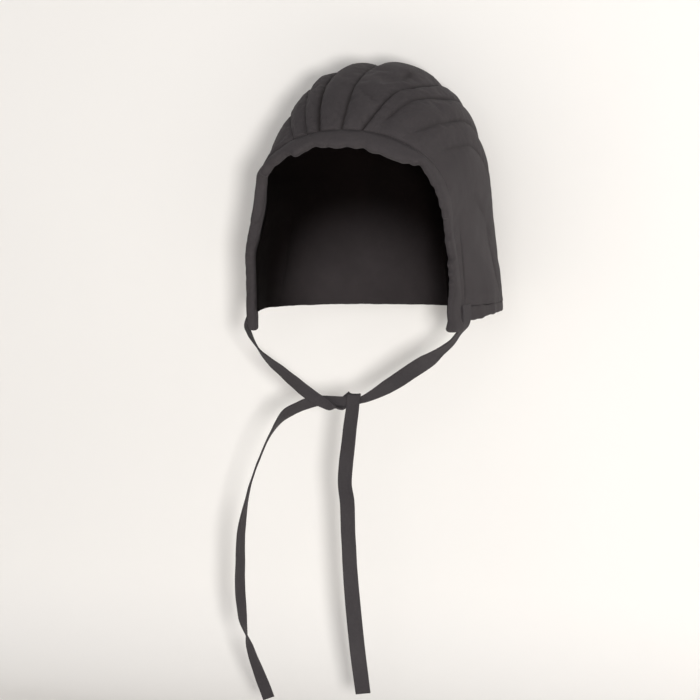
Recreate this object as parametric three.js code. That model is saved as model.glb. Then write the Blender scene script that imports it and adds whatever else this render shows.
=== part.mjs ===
// Quilted arming cap with two tie tapes, in millimetres.
// The origin is the top of the head room, under the crown. +Z is up, -Y the face side, +X the wearer's left.
import * as THREE from 'three';

// Head room, measured on the lining
const headWidth = 162;      // between the ears
const frontReach = 92;      // from the crown forward to the forehead
const backReach = 95;       // from the crown back to the back of the head
const capHeight = 195;      // from the crown down to the lower edge of the hem

// Cloth
const liningThickness = 1.2;
const seamThickness = 3.0;  // padded shell along a sewn quilt line
const puffHeight = 4.4;     // how far the fullest channel stands above its seams
const clearance = 0.3;      // between pieces that touch
const seamGap = 0.6;        // between the band and the layers behind it

// Band round the face opening
const bandWidth = 14.5;
const bandThickness = 9.6;
const tabLength = 12.5;     // free end of the band below the hem
const tabRounding = 1.5;    // height of its rounded lower edge
const tabTaper = 0.15;      // share by which that edge draws in
const tabNarrowing = 0.12;  // share by which the tab is slimmer than the band above it

// Hem band round the neck
const hemHeight = 10;
const hemThickness = 5.4;

// Tie tapes
const tapeWidth = 12.4;
const tapeThickness = 1.6;

const clothColour = 0x47434a;
const liningColour = 0x2c2829;

const skirtHeight = capHeight - hemHeight - clearance;
const shellInside = liningThickness + clearance;

// The cap is a row of hood arches from the face opening (along = 0) to the nape (along = 1). Each arch climbs
// a side wall, turns in a quarter ellipse over the crown and comes down the other side.
// Crown of the arches: topY is a share of frontReach where it is negative, of backReach where it is positive,
// topZ a share of skirtHeight, and turn the share of the half arch that the ellipse takes.
const crowns = [
  { along: 0.00, topY: -0.960, topZ: -0.332, turn: 0.50 },
  { along: 0.10, topY: -0.860, topZ: -0.228, turn: 0.54 },
  { along: 0.22, topY: -0.570, topZ: -0.082, turn: 0.57 },
  { along: 0.38, topY: 0.000, topZ: 0.000, turn: 0.60 },
  { along: 0.54, topY: 0.560, topZ: -0.085, turn: 0.63 },
  { along: 0.68, topY: 0.920, topZ: -0.300, turn: 0.69 },
  { along: 0.80, topY: 1.000, topZ: -0.550, turn: 0.78 },
  { along: 0.90, topY: 0.990, topZ: -0.780, turn: 0.89 },
  { along: 1.00, topY: 0.980, topZ: -1.000, turn: 1.00 },
];

// Side walls of the arches, from the ellipse's end at sideZ, a share of skirtHeight, down to the hem: sideY and
// hemY are shares as topY, side and hem the half widths there as shares of half the headWidth.
const walls = [
  { along: 0.00, sideY: -0.78, hemY: -0.72, sideZ: -0.62, side: 0.940, hem: 0.985 },
  { along: 0.10, sideY: -0.56, hemY: -0.55, sideZ: -0.61, side: 0.955, hem: 1.010 },
  { along: 0.22, sideY: -0.33, hemY: -0.36, sideZ: -0.59, side: 0.980, hem: 1.060 },
  { along: 0.38, sideY: -0.08, hemY: -0.16, sideZ: -0.58, side: 1.000, hem: 1.110 },
  { along: 0.54, sideY: 0.12, hemY: -0.02, sideZ: -0.61, side: 1.000, hem: 1.130 },
  { along: 0.68, sideY: 0.22, hemY: 0.06, sideZ: -0.69, side: 1.000, hem: 1.130 },
  { along: 0.80, sideY: 0.24, hemY: 0.12, sideZ: -0.79, side: 1.030, hem: 1.130 },
  { along: 0.90, sideY: 0.23, hemY: 0.17, sideZ: -0.90, side: 1.080, hem: 1.130 },
  { along: 1.00, sideY: 0.21, hemY: 0.21, sideZ: -1.00, side: 1.130, hem: 1.130 },
];

// Quilt lines from the right hem to the left hem, as shares of the half arch from the middle, at four places
// along the cap. puff is the fullness of the channel that ends at the line and facets its number of facets.
const quiltStops = { brow: 0.05, fore: 0.20, crown: 0.36, nape: 1.00 };
const quiltLines = [
  { brow: -1.000, fore: -1.000, crown: -1.000, nape: -1.000, puff: 0.00, facets: 0 },
  { brow: -0.500, fore: -0.540, crown: -0.590, nape: -0.790, puff: 0.22, facets: 6 },
  { brow: -0.300, fore: -0.390, crown: -0.440, nape: -0.610, puff: 0.45, facets: 4 },
  { brow: -0.165, fore: -0.270, crown: -0.330, nape: -0.450, puff: 0.75, facets: 3 },
  { brow: -0.110, fore: -0.180, crown: -0.220, nape: -0.300, puff: 0.80, facets: 3 },
  { brow: -0.062, fore: -0.105, crown: -0.115, nape: -0.150, puff: 0.80, facets: 3 },
  { brow: 0.000, fore: 0.000, crown: 0.000, nape: 0.000, puff: 0.85, facets: 4 },
  { brow: 0.048, fore: 0.120, crown: 0.212, nape: 0.165, puff: 1.00, facets: 4 },
  { brow: 0.080, fore: 0.180, crown: 0.280, nape: 0.310, puff: 0.60, facets: 3 },
  { brow: 0.165, fore: 0.300, crown: 0.365, nape: 0.450, puff: 0.75, facets: 3 },
  { brow: 0.285, fore: 0.390, crown: 0.445, nape: 0.610, puff: 0.75, facets: 3 },
  { brow: 0.500, fore: 0.540, crown: 0.590, nape: 0.790, puff: 0.45, facets: 3 },
  { brow: 1.000, fore: 1.000, crown: 1.000, nape: 1.000, puff: 0.22, facets: 6 },
];
const squareness = 2.3;     // exponent of the arches' quarter ellipse, 2 for a true one
const foreheadTurn = 1.3;   // how fast an arch's depth settles to that of its wall
const fullestTurn = 0.999;  // the ellipse leaves at least a trace of wall
const rowsAlong = 20;       // facets from the band to the nape

// Fullness of the channels from the band to the nape
const puffAlong = [
  { along: 0.00, fullness: 0.20 },
  { along: 0.12, fullness: 0.80 },
  { along: 0.34, fullness: 1.00 },
  { along: 0.70, fullness: 0.75 },
  { along: 1.00, fullness: 0.35 },
];

// Smooth value of one column of a table at x, through every row.
function columnAt(rows, key, column, x) {
  const last = rows.length - 1;
  let i = 0;
  while (i < last - 1 && x > rows[i + 1][key]) i += 1;
  const rise = (m, n) => (rows[n][column] - rows[m][column]) / (rows[n][key] - rows[m][key]);
  const slope = (n) => rise(Math.max(n - 1, 0), Math.min(n + 1, last));
  const span = rows[i + 1][key] - rows[i][key];
  const t = (x - rows[i][key]) / span;
  const a = rows[i][column];
  const b = rows[i + 1][column];
  const da = slope(i) * span;
  const db = slope(i + 1) * span;
  return a + t * (da + t * (3 * (b - a) - 2 * da - db + t * (2 * (a - b) + da + db)));
}

const reach = (share) => share * (share < 0 ? frontReach : backReach);

// Point of the head room's surface; across runs from -1 (right hem) over 0 (middle) to 1 (left hem).
function headPoint(across, along) {
  const crown = (column) => columnAt(crowns, 'along', column, along);
  const wall = (column) => columnAt(walls, 'along', column, along);
  const half = Math.abs(across);
  const turn = Math.min(crown('turn'), fullestTurn);
  const sideX = wall('side') * headWidth / 2;
  const sideY = reach(wall('sideY'));
  const sideZ = wall('sideZ') * skirtHeight;
  if (half <= turn) {
    const angle = (half / turn) * Math.PI / 2;
    const outward = Math.sin(angle) ** (2 / squareness);
    const inward = Math.cos(angle) ** (2 / squareness);
    const y = sideY + (reach(crown('topY')) - sideY) * inward ** foreheadTurn;
    const z = sideZ + (crown('topZ') * skirtHeight - sideZ) * inward;
    return new THREE.Vector3(Math.sign(across) * sideX * outward, y, z);
  }
  const down = (half - turn) / (1 - turn);
  const x = THREE.MathUtils.lerp(sideX, wall('hem') * headWidth / 2, THREE.MathUtils.smoothstep(down, 0, 1));
  const y = sideY + (reach(wall('hemY')) - sideY) * down;
  return new THREE.Vector3(Math.sign(across) * x, y, sideZ - (skirtHeight + sideZ) * down);
}

// Outward direction of that surface.
function headNormal(across, along) {
  const step = 0.004;
  const a = Math.min(Math.max(along, step), 1 - step);
  const tangentAcross = headPoint(across + step, a).sub(headPoint(across - step, a));
  const tangentAlong = headPoint(across, a + step).sub(headPoint(across, a - step));
  return tangentAcross.cross(tangentAlong).normalize();
}

function offsetPoint(across, along, height) {
  return headPoint(across, along).addScaledVector(headNormal(across, along), height);
}

// The along value at a distance behind the edge of the face opening.
function alongAtDistance(across, distance) {
  const steps = 10;
  let along = 0;
  for (let i = 0; i < steps; i += 1) {
    const gauge = 0.002;
    const speed = headPoint(across, along + gauge).distanceTo(headPoint(across, along)) / gauge;
    along += distance / steps / speed;
  }
  return along;
}

// Share across the cap of a quilt line at an along value.
function quiltShare(line, along) {
  const stops = Object.entries(quiltStops).map(([stop, place]) => ({ along: place, share: line[stop] }));
  return columnAt(stops, 'along', 'share', Math.max(along, quiltStops.brow));
}

// Facet columns of the quilting from the right hem to the left hem. Each names its channel's two quilt lines,
// its share of the way between them and the fullness there.
function quiltColumns() {
  const found = [{ from: quiltLines[0], to: quiltLines[0], share: 0, fullness: 0 }];
  for (let n = 1; n < quiltLines.length; n += 1) {
    const { puff, facets } = quiltLines[n];
    for (let f = 1; f <= facets; f += 1) {
      const share = f / facets;
      const fullness = f === facets ? 0 : puff * Math.sqrt(Math.sin(Math.PI * share));
      found.push({ from: quiltLines[n - 1], to: quiltLines[n], share, fullness });
    }
  }
  return found;
}

const columns = quiltColumns();

function columnAcross(column, along) {
  return THREE.MathUtils.lerp(quiltShare(column.from, along), quiltShare(column.to, along), column.share);
}

// Place where a column meets the band, and the along value there.
function seamOf(column) {
  let along = 0.06;
  for (let i = 0; i < 4; i += 1) along = alongAtDistance(columnAcross(column, along), bandWidth);
  return { across: columnAcross(column, along), along };
}

const seams = columns.map(seamOf);

// Grid of points over the cap behind the band. The height above the head room may differ between points.
function capGrid(heightAt) {
  const rows = [];
  for (let i = 0; i <= rowsAlong; i += 1) {
    rows.push(columns.map((column, j) => {
      const start = alongAtDistance(seams[j].across, bandWidth + seamGap);
      const along = THREE.MathUtils.lerp(start, 1, i / rowsAlong);
      const across = i === 0 ? seams[j].across : columnAcross(column, along);
      const point = offsetPoint(across, along, heightAt(column, along));
      const onHem = i === rowsAlong || j === 0 || j === columns.length - 1;
      return onHem ? point.setZ(-skirtHeight) : point;
    }));
  }
  return rows;
}

function meshFrom(name, positions, indices, material) {
  const geometry = new THREE.BufferGeometry();
  const values = positions.flatMap((point) => point.toArray());
  geometry.setAttribute('position', new THREE.Float32BufferAttribute(values, 3));
  geometry.setIndex(indices);
  geometry.computeVertexNormals();
  const mesh = new THREE.Mesh(geometry, material);
  mesh.name = name;
  return mesh;
}

// Closed body between an inner and an outer grid of the same size.
function layer(name, inner, outer, material) {
  const rows = inner.length;
  const width = inner[0].length;
  const positions = [...inner.flat(), ...outer.flat()];
  const inside = (i, j) => i * width + j;
  const outside = (i, j) => rows * width + inside(i, j);
  const indices = [];
  const quad = (a, b, c, d) => indices.push(a, c, b, a, d, c);
  for (let i = 0; i < rows - 1; i += 1) {
    for (let j = 0; j < width - 1; j += 1) {
      quad(outside(i, j), outside(i + 1, j), outside(i + 1, j + 1), outside(i, j + 1));
      quad(inside(i, j), inside(i, j + 1), inside(i + 1, j + 1), inside(i + 1, j));
    }
    quad(inside(i, 0), inside(i + 1, 0), outside(i + 1, 0), outside(i, 0));
    quad(outside(i, width - 1), outside(i + 1, width - 1), inside(i + 1, width - 1), inside(i, width - 1));
  }
  for (let j = 0; j < width - 1; j += 1) {
    quad(inside(0, j), outside(0, j), outside(0, j + 1), inside(0, j + 1));
    quad(outside(rows - 1, j), inside(rows - 1, j), inside(rows - 1, j + 1), outside(rows - 1, j + 1));
  }
  return meshFrom(name, positions, indices, material);
}

// Closed body through a row of rings with the same number of points, capped at both ends.
function loft(name, rings, material) {
  const size = rings[0].length;
  const positions = rings.flat();
  const indices = [];
  for (let i = 0; i < rings.length - 1; i += 1) {
    for (let j = 0; j < size; j += 1) {
      const next = (j + 1) % size;
      const a = i * size + j;
      const b = i * size + next;
      const c = (i + 1) * size + next;
      const d = (i + 1) * size + j;
      indices.push(a, c, b, a, d, c);
    }
  }
  const end = (rings.length - 1) * size;
  for (let j = 1; j < size - 1; j += 1) {
    indices.push(0, j, j + 1);
    indices.push(end, end + j + 1, end + j);
  }
  return meshFrom(name, positions, indices, material);
}

const material = (color) => new THREE.MeshStandardMaterial({ color, roughness: 0.92, metalness: 0 });
const cloth = material(clothColour);
const liningCloth = material(liningColour);

function makeLining() {
  return layer('lining', capGrid(() => 0), capGrid(() => liningThickness), liningCloth);
}

function makePaddedShell() {
  const puffed = (column, along) => shellInside + seamThickness
    + puffHeight * column.fullness * columnAt(puffAlong, 'along', 'fullness', along);
  return layer('padded_shell', capGrid(() => shellInside), capGrid(puffed), cloth);
}

// Section of the band: back is the distance behind the opening's edge as a share of bandWidth, height a share
// of bandThickness above the head room.
const bandSection = [
  { back: 1.00, height: 0.00 },
  { back: 0.45, height: -0.04 },
  { back: 0.12, height: 0.06 },
  { back: 0.00, height: 0.32 },
  { back: 0.00, height: 0.66 },
  { back: 0.12, height: 0.92 },
  { back: 0.45, height: 1.00 },
  { back: 0.85, height: 0.86 },
  { back: 1.00, height: 0.58 },
];

function makeFrontBand() {
  const bandRing = ({ across }) => bandSection.map(({ back, height }) => (
    offsetPoint(across, alongAtDistance(across, back * bandWidth), height * bandThickness)));
  const rings = seams.map(bandRing);
  const lowered = (ring, drop, shrink) => {
    const centre = ring.reduce((sum, point) => sum.add(point), new THREE.Vector3()).divideScalar(ring.length);
    return ring.map((point) => point.clone().lerp(centre, shrink).setZ(point.z - drop));
  };
  const tabEnd = hemHeight + tabLength;
  const tab = (ring) => [
    lowered(ring, hemHeight, 0),
    lowered(ring, tabEnd - tabRounding, tabNarrowing),
    lowered(ring, tabEnd, tabNarrowing + tabTaper),
  ];
  return loft('front_band', [...tab(rings[0]).reverse(), ...rings, ...tab(rings[rings.length - 1])], cloth);
}

// Section of the hem band: down is the share of hemHeight below its seam, height the share of hemThickness.
const hemSection = [
  { down: 0.00, height: 0.00 },
  { down: 0.00, height: 0.82 },
  { down: 0.25, height: 1.00 },
  { down: 0.80, height: 1.00 },
  { down: 1.00, height: 0.75 },
  { down: 1.00, height: 0.25 },
  { down: 0.85, height: 0.00 },
];

function makeNeckHem() {
  const stations = [];
  const start = alongAtDistance(1, bandWidth + seamGap);
  const sideFacets = 7;
  const sideAlong = (i) => THREE.MathUtils.lerp(start, 1, i / sideFacets);
  for (let i = 0; i < sideFacets; i += 1) stations.push([-1, sideAlong(i)]);
  const napeFacets = 22;
  for (let i = 0; i <= napeFacets; i += 1) stations.push([THREE.MathUtils.lerp(-1, 1, i / napeFacets), 1]);
  for (let i = sideFacets - 1; i >= 0; i -= 1) stations.push([1, sideAlong(i)]);
  const rings = stations.map(([across, along]) => {
    const seam = headPoint(across, along);
    const out = headNormal(across, along).setZ(0).normalize();
    return hemSection.map(({ down, height }) => seam.clone()
      .addScaledVector(out, height * hemThickness)
      .setZ(seam.z - clearance - down * hemHeight));
  });
  return loft('neck_hem', rings, cloth);
}

// Routes of the two tapes, chosen by hand: at is a point on the tape's middle, across the direction of its
// width there, and width the share of tapeWidth that it keeps where the knot creases it. Each starts sewn on
// outside its cheek just behind the band. The left tape runs through the knot and hangs as the tail on the
// wearer's right; the right tape crosses in front of it, turns up behind it and hangs down the middle.
const tieLeftRoute = [
  { at: [89.9, -45.5, -183.5], across: [0.25, 0.97, 0], width: 1 },
  { at: [90.2, -45.4, -189.5], across: [0.25, 0.97, 0], width: 1 },
  { at: [90, -45.3, -195], across: [0.2, 0.97, 0], width: 1 },
  { at: [88.8, -45.2, -200.5], across: [0.1, 1, 0], width: 1 },
  { at: [83.5, -45.4, -206.5], across: [0.05, 1, 0], width: 0.95 },
  { at: [78.6, -48.5, -213.5], across: [0.02, 0.97, -0.2], width: 0.95 },
  { at: [71.8, -53.5, -220.2], across: [0.08, 0.9, -0.4], width: 1 },
  { at: [64.4, -57, -226.4], across: [0.3, 0.6, -0.65], width: 1 },
  { at: [58, -58.6, -230.4], across: [0.46, 0.3, -0.78], width: 1 },
  { at: [49.2, -59, -236], across: [0.57, 0, -0.82], width: 1 },
  { at: [38.8, -59, -243], across: [0.57, 0, -0.82], width: 1 },
  { at: [27.3, -58.7, -250], across: [0.52, 0.05, -0.85], width: 0.9 },
  { at: [16.2, -58.3, -256.2], across: [0.42, 0, -0.9], width: 0.66 },
  { at: [6, -58, -260.6], across: [0.25, 0, -0.97], width: 0.45 },
  { at: [-5.8, -58, -261.9], across: [0, 0, -1], width: 0.6 },
  { at: [-17, -58, -262], across: [0, 0, -1], width: 0.62 },
  { at: [-29, -58, -262.3], across: [0, 0, -1], width: 0.66 },
  { at: [-37.6, -58, -264.2], across: [0.12, 0.2, -1], width: 0.72 },
  { at: [-46.2, -58, -267.5], across: [0.25, 0.6, -0.7], width: 0.78 },
  { at: [-56, -58, -272.6], across: [0.3, 0.75, -0.5], width: 0.9 },
  { at: [-63.5, -58, -279.8], across: [0, 0.95, -0.15], width: 1 },
  { at: [-69.5, -58, -288], across: [-0.2, 0.95, 0], width: 1 },
  { at: [-77.3, -58, -302], across: [-0.34, 0.94, 0], width: 1 },
  { at: [-84.8, -58, -319], across: [-0.34, 0.94, 0], width: 1 },
  { at: [-92.2, -58, -343], across: [-0.25, 0.95, 0], width: 1 },
  { at: [-97, -58, -368], across: [0.1, 1, 0], width: 1 },
  { at: [-98.2, -58, -394], across: [0.22, 0.97, 0], width: 1 },
  { at: [-98.2, -58, -420], across: [0.28, 0.96, 0], width: 1 },
  { at: [-96.3, -58, -441], across: [0.15, 0.98, 0], width: 1 },
  { at: [-93.6, -58, -453.5], across: [-0.3, 0.95, 0], width: 1 },
  { at: [-90.5, -58, -464.5], across: [-0.74, 0.67, 0], width: 1 },
  { at: [-84.8, -57.5, -480.5], across: [-0.9, 0.44, 0], width: 1 },
  { at: [-78.9, -57, -495], across: [-0.95, 0.3, 0], width: 1 },
  { at: [-73.8, -57, -507], across: [-0.95, 0.3, 0], width: 1 },
];
const tieRightRoute = [
  { at: [-89.1, -45.5, -183.5], across: [0.25, -0.97, 0], width: 1 },
  { at: [-91.2, -45.7, -189.5], across: [0.25, -0.97, 0], width: 1 },
  { at: [-95, -46.2, -196.5], across: [0.2, -0.97, 0], width: 1 },
  { at: [-96.4, -46.9, -204], across: [0.12, -0.98, 0], width: 1 },
  { at: [-93.6, -48.2, -211], across: [0.1, -0.95, 0.15], width: 1 },
  { at: [-88.2, -51, -218.2], across: [0.12, -0.93, 0.33], width: 1 },
  { at: [-80.8, -54.4, -225.8], across: [0.17, -0.88, 0.44], width: 1 },
  { at: [-72, -57.2, -232.2], across: [0.36, -0.74, 0.5], width: 1 },
  { at: [-60.2, -59.3, -240.2], across: [0.48, -0.6, 0.62], width: 1 },
  { at: [-49, -61, -248], across: [0.5, -0.42, 0.7], width: 0.96 },
  { at: [-38.6, -61.9, -255.4], across: [0.56, -0.22, 0.76], width: 0.88 },
  { at: [-30, -61.7, -260.8], across: [0.62, -0.15, 0.76], width: 0.8 },
  { at: [-23, -61.3, -264.1], across: [0.64, -0.2, 0.7], width: 0.74 },
  { at: [-18.6, -60, -266.7], across: [0.75, -0.45, 0.42], width: 0.72 },
  { at: [-15.4, -57.8, -267.5], across: [0.8, -0.58, 0.05], width: 0.72 },
  { at: [-12.8, -55.6, -266.4], across: [0.84, -0.4, -0.35], width: 0.74 },
  { at: [-9.4, -54.8, -263.4], across: [0.88, -0.1, -0.45], width: 0.76 },
  { at: [-4.6, -54.8, -260], across: [0.93, 0, -0.36], width: 0.8 },
  { at: [-1.4, -55.6, -257.8], across: [0.99, 0.05, -0.15], width: 0.84 },
  { at: [-0.2, -56.8, -256.7], across: [1, 0.05, -0.05], width: 0.86 },
  { at: [0.3, -58.4, -256.4], across: [1, 0.06, 0], width: 0.88 },
  { at: [0.7, -60.2, -257.2], across: [1, 0, 0], width: 0.9 },
  { at: [0.6, -61, -260.5], across: [1, -0.1, 0], width: 0.92 },
  { at: [0, -61, -267], across: [0.97, -0.2, 0], width: 0.95 },
  { at: [-2.8, -60.5, -286], across: [0.97, -0.2, 0], width: 1 },
  { at: [-6.2, -59.5, -313], across: [1, -0.1, 0], width: 1 },
  { at: [-7.2, -59, -328], across: [0.98, -0.15, 0], width: 1 },
  { at: [-5.4, -59, -343], across: [1, 0, 0], width: 1 },
  { at: [-4.7, -58.5, -368], across: [1, -0.05, 0], width: 1 },
  { at: [-3.2, -58, -398], across: [1, 0, 0], width: 1 },
  { at: [-0.2, -57.5, -434], across: [0.96, 0.28, 0], width: 1 },
  { at: [3.2, -57, -466], across: [0.94, 0.34, 0], width: 1 },
  { at: [7.6, -57, -497.5], across: [1, 0.1, 0], width: 1 },
];
const stepsPerPoint = 2;

// Section of a tape: a flat bar with bevelled edges, as shares of its width and thickness.
const tapeSection = [
  { side: 0.5, face: 0.22 },
  { side: 0.44, face: 0.5 },
  { side: -0.44, face: 0.5 },
  { side: -0.5, face: 0.22 },
  { side: -0.5, face: -0.22 },
  { side: -0.44, face: -0.5 },
  { side: 0.44, face: -0.5 },
  { side: 0.5, face: -0.22 },
];

function makeTie(name, route) {
  const curveOf = (key) => new THREE.CatmullRomCurve3(route.map((row) => new THREE.Vector3(...row[key])));
  const path = curveOf('at');
  const acrossCurve = curveOf('across');
  const steps = (route.length - 1) * stepsPerPoint;
  const rings = [];
  for (let i = 0; i <= steps; i += 1) {
    const t = i / steps;
    const centre = path.getPoint(t);
    const forward = path.getTangent(t);
    const across = acrossCurve.getPoint(t);
    across.addScaledVector(forward, -across.dot(forward)).normalize();
    const out = new THREE.Vector3().crossVectors(across, forward);
    const from = Math.min(Math.floor(t * (route.length - 1)), route.length - 2);
    const share = t * (route.length - 1) - from;
    const width = tapeWidth * THREE.MathUtils.lerp(route[from].width, route[from + 1].width, share);
    rings.push(tapeSection.map(({ side, face }) => centre.clone()
      .addScaledVector(across, side * width)
      .addScaledVector(out, face * tapeThickness)));
  }
  return loft(name, rings, cloth);
}

const cap = new THREE.Group();
cap.add(makeLining(), makePaddedShell(), makeFrontBand(), makeNeckHem());
cap.add(makeTie('tie_left', tieLeftRoute), makeTie('tie_right', tieRightRoute));

export default cap;
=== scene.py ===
"""Looks of a quilted arming cap with two tie tapes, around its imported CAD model.

Lengths are metres, except in the tables that say millimetres. +Z is up and -Y is the face side.
"""

import math

import bmesh
import bpy
import numpy as np
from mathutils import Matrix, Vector, noise


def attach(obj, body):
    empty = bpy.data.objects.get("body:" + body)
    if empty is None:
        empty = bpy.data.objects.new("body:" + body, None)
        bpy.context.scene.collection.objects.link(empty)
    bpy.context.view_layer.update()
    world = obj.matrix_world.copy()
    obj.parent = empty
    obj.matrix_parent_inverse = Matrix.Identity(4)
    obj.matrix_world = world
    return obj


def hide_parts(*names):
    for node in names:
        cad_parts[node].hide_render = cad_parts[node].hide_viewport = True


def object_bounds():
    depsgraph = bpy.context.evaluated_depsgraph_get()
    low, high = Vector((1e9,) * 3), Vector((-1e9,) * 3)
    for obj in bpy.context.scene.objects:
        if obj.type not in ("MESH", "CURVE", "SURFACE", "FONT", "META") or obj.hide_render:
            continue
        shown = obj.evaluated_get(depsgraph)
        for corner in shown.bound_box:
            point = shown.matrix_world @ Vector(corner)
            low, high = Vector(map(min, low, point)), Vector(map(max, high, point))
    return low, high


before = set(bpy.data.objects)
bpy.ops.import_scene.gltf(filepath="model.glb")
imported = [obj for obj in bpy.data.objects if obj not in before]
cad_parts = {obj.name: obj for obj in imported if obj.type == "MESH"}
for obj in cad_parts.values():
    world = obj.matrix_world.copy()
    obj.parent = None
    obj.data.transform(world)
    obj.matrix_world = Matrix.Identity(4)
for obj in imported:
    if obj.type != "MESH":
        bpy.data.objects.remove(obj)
cad_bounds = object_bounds()

MM = 0.001

# Sizes, as in the CAD
HEAD_WIDTH = 0.162
FRONT_REACH = 0.092
BACK_REACH = 0.095
CAP_HEIGHT = 0.195
LINING = 0.0012
SEAM = 0.0030
PUFF = 0.0044
CLEARANCE = 0.0003
BAND_WIDTH = 0.0145
TAB_LENGTH = 0.0125
TAB_NARROWING = 0.12
HEM_HEIGHT = 0.010
HEM_THICKNESS = 0.0054
TAPE_WIDTH = 0.0124
SKIRT = CAP_HEIGHT - HEM_HEIGHT - CLEARANCE
SHELL_INSIDE = LINING + CLEARANCE

# Sizes of the soft pieces alone
SHELL_ROWS = 191
CREASE_DEPTH = 0.0008
MOST_INFLATED = 0.0018
BAND_THICKNESS = 0.0090
BAND_THINNING = 0.0030
TAB_CORNER = 0.003
LEFT_TAB_LENGTH = 0.0098
LEFT_TAB_NARROWING = -0.42
HEM_INSIDE = 0.0011
TAPE_THICKNESS = 0.0015

# Between these places across, towards the left cheek, the band gets flatter and the shell laps over it
MERGING = (0.22, 0.45)
MERGED_LAP = 0.0012

# Colours, from dark to light where there are more than one
CANVAS = [(0.036, 0.0315, 0.033), (0.042, 0.037, 0.0385), (0.048, 0.0425, 0.044)]
TAPE_CANVAS = [(0.038, 0.034, 0.036), (0.045, 0.0405, 0.0425), (0.052, 0.047, 0.049)]
# Lining colours with painted shade, nearly black as deep inside the cap
LINING_IN_PAINTED_SHADE = [(0.0022, 0.0015, 0.0014), (0.0030, 0.0019, 0.0018), (0.0038, 0.0024, 0.0023)]
# Paler lining colours for a patch of painted light low at the back inside
LINING_IN_PAINTED_LIGHT = [(0.032, 0.0275, 0.0285), (0.040, 0.0345, 0.0358)]
PAPER = (0.86, 0.84, 0.81)
# Colour of the shade painted into the quilt grooves and the shell's folds
PAINTED_CREASE_SHADE = (0.012, 0.0095, 0.009)

# A fold as deep as this is wholly darkened to the painted crease shade colour
FOLD_DEPTH_OF_FULL_SHADE = 0.002

# Scales points where their ripples run up and down
UPRIGHT = np.array([1, 1, 0.25])

# Form of the head room, as in the CAD. Its rows run from the face (along 0) to the nape (along 1). y is in
# shares of FRONT_REACH or BACK_REACH, and z in shares of SKIRT. CROWNS has the top line, and the place
# across where the crown turns into the wall. WALLS has the wall's top (side) and foot (hem), and how far out
# they lie in shares of half of HEAD_WIDTH.
SQUARENESS = 2.3
FOREHEAD_TURN = 1.3
FULLEST_TURN = 0.999
CROWNS = [
    dict(along=0.00, top_y=-0.960, top_z=-0.332, turn=0.50),
    dict(along=0.10, top_y=-0.860, top_z=-0.228, turn=0.54),
    dict(along=0.22, top_y=-0.570, top_z=-0.082, turn=0.57),
    dict(along=0.38, top_y=0.000, top_z=0.000, turn=0.60),
    dict(along=0.54, top_y=0.560, top_z=-0.085, turn=0.63),
    dict(along=0.68, top_y=0.920, top_z=-0.300, turn=0.69),
    dict(along=0.80, top_y=1.000, top_z=-0.550, turn=0.78),
    dict(along=0.90, top_y=0.990, top_z=-0.780, turn=0.89),
    dict(along=1.00, top_y=0.980, top_z=-1.000, turn=1.00),
]
WALLS = [
    dict(along=0.00, side_y=-0.78, hem_y=-0.72, side_z=-0.62, side=0.940, hem=0.985),
    dict(along=0.10, side_y=-0.56, hem_y=-0.55, side_z=-0.61, side=0.955, hem=1.010),
    dict(along=0.22, side_y=-0.33, hem_y=-0.36, side_z=-0.59, side=0.980, hem=1.060),
    dict(along=0.38, side_y=-0.08, hem_y=-0.16, side_z=-0.58, side=1.000, hem=1.110),
    dict(along=0.54, side_y=0.12, hem_y=-0.02, side_z=-0.61, side=1.000, hem=1.130),
    dict(along=0.68, side_y=0.22, hem_y=0.06, side_z=-0.69, side=1.000, hem=1.130),
    dict(along=0.80, side_y=0.24, hem_y=0.12, side_z=-0.79, side=1.030, hem=1.130),
    dict(along=0.90, side_y=0.23, hem_y=0.17, side_z=-0.90, side=1.080, hem=1.130),
    dict(along=1.00, side_y=0.21, hem_y=0.21, side_z=-1.00, side=1.130, hem=1.130),
]
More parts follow.
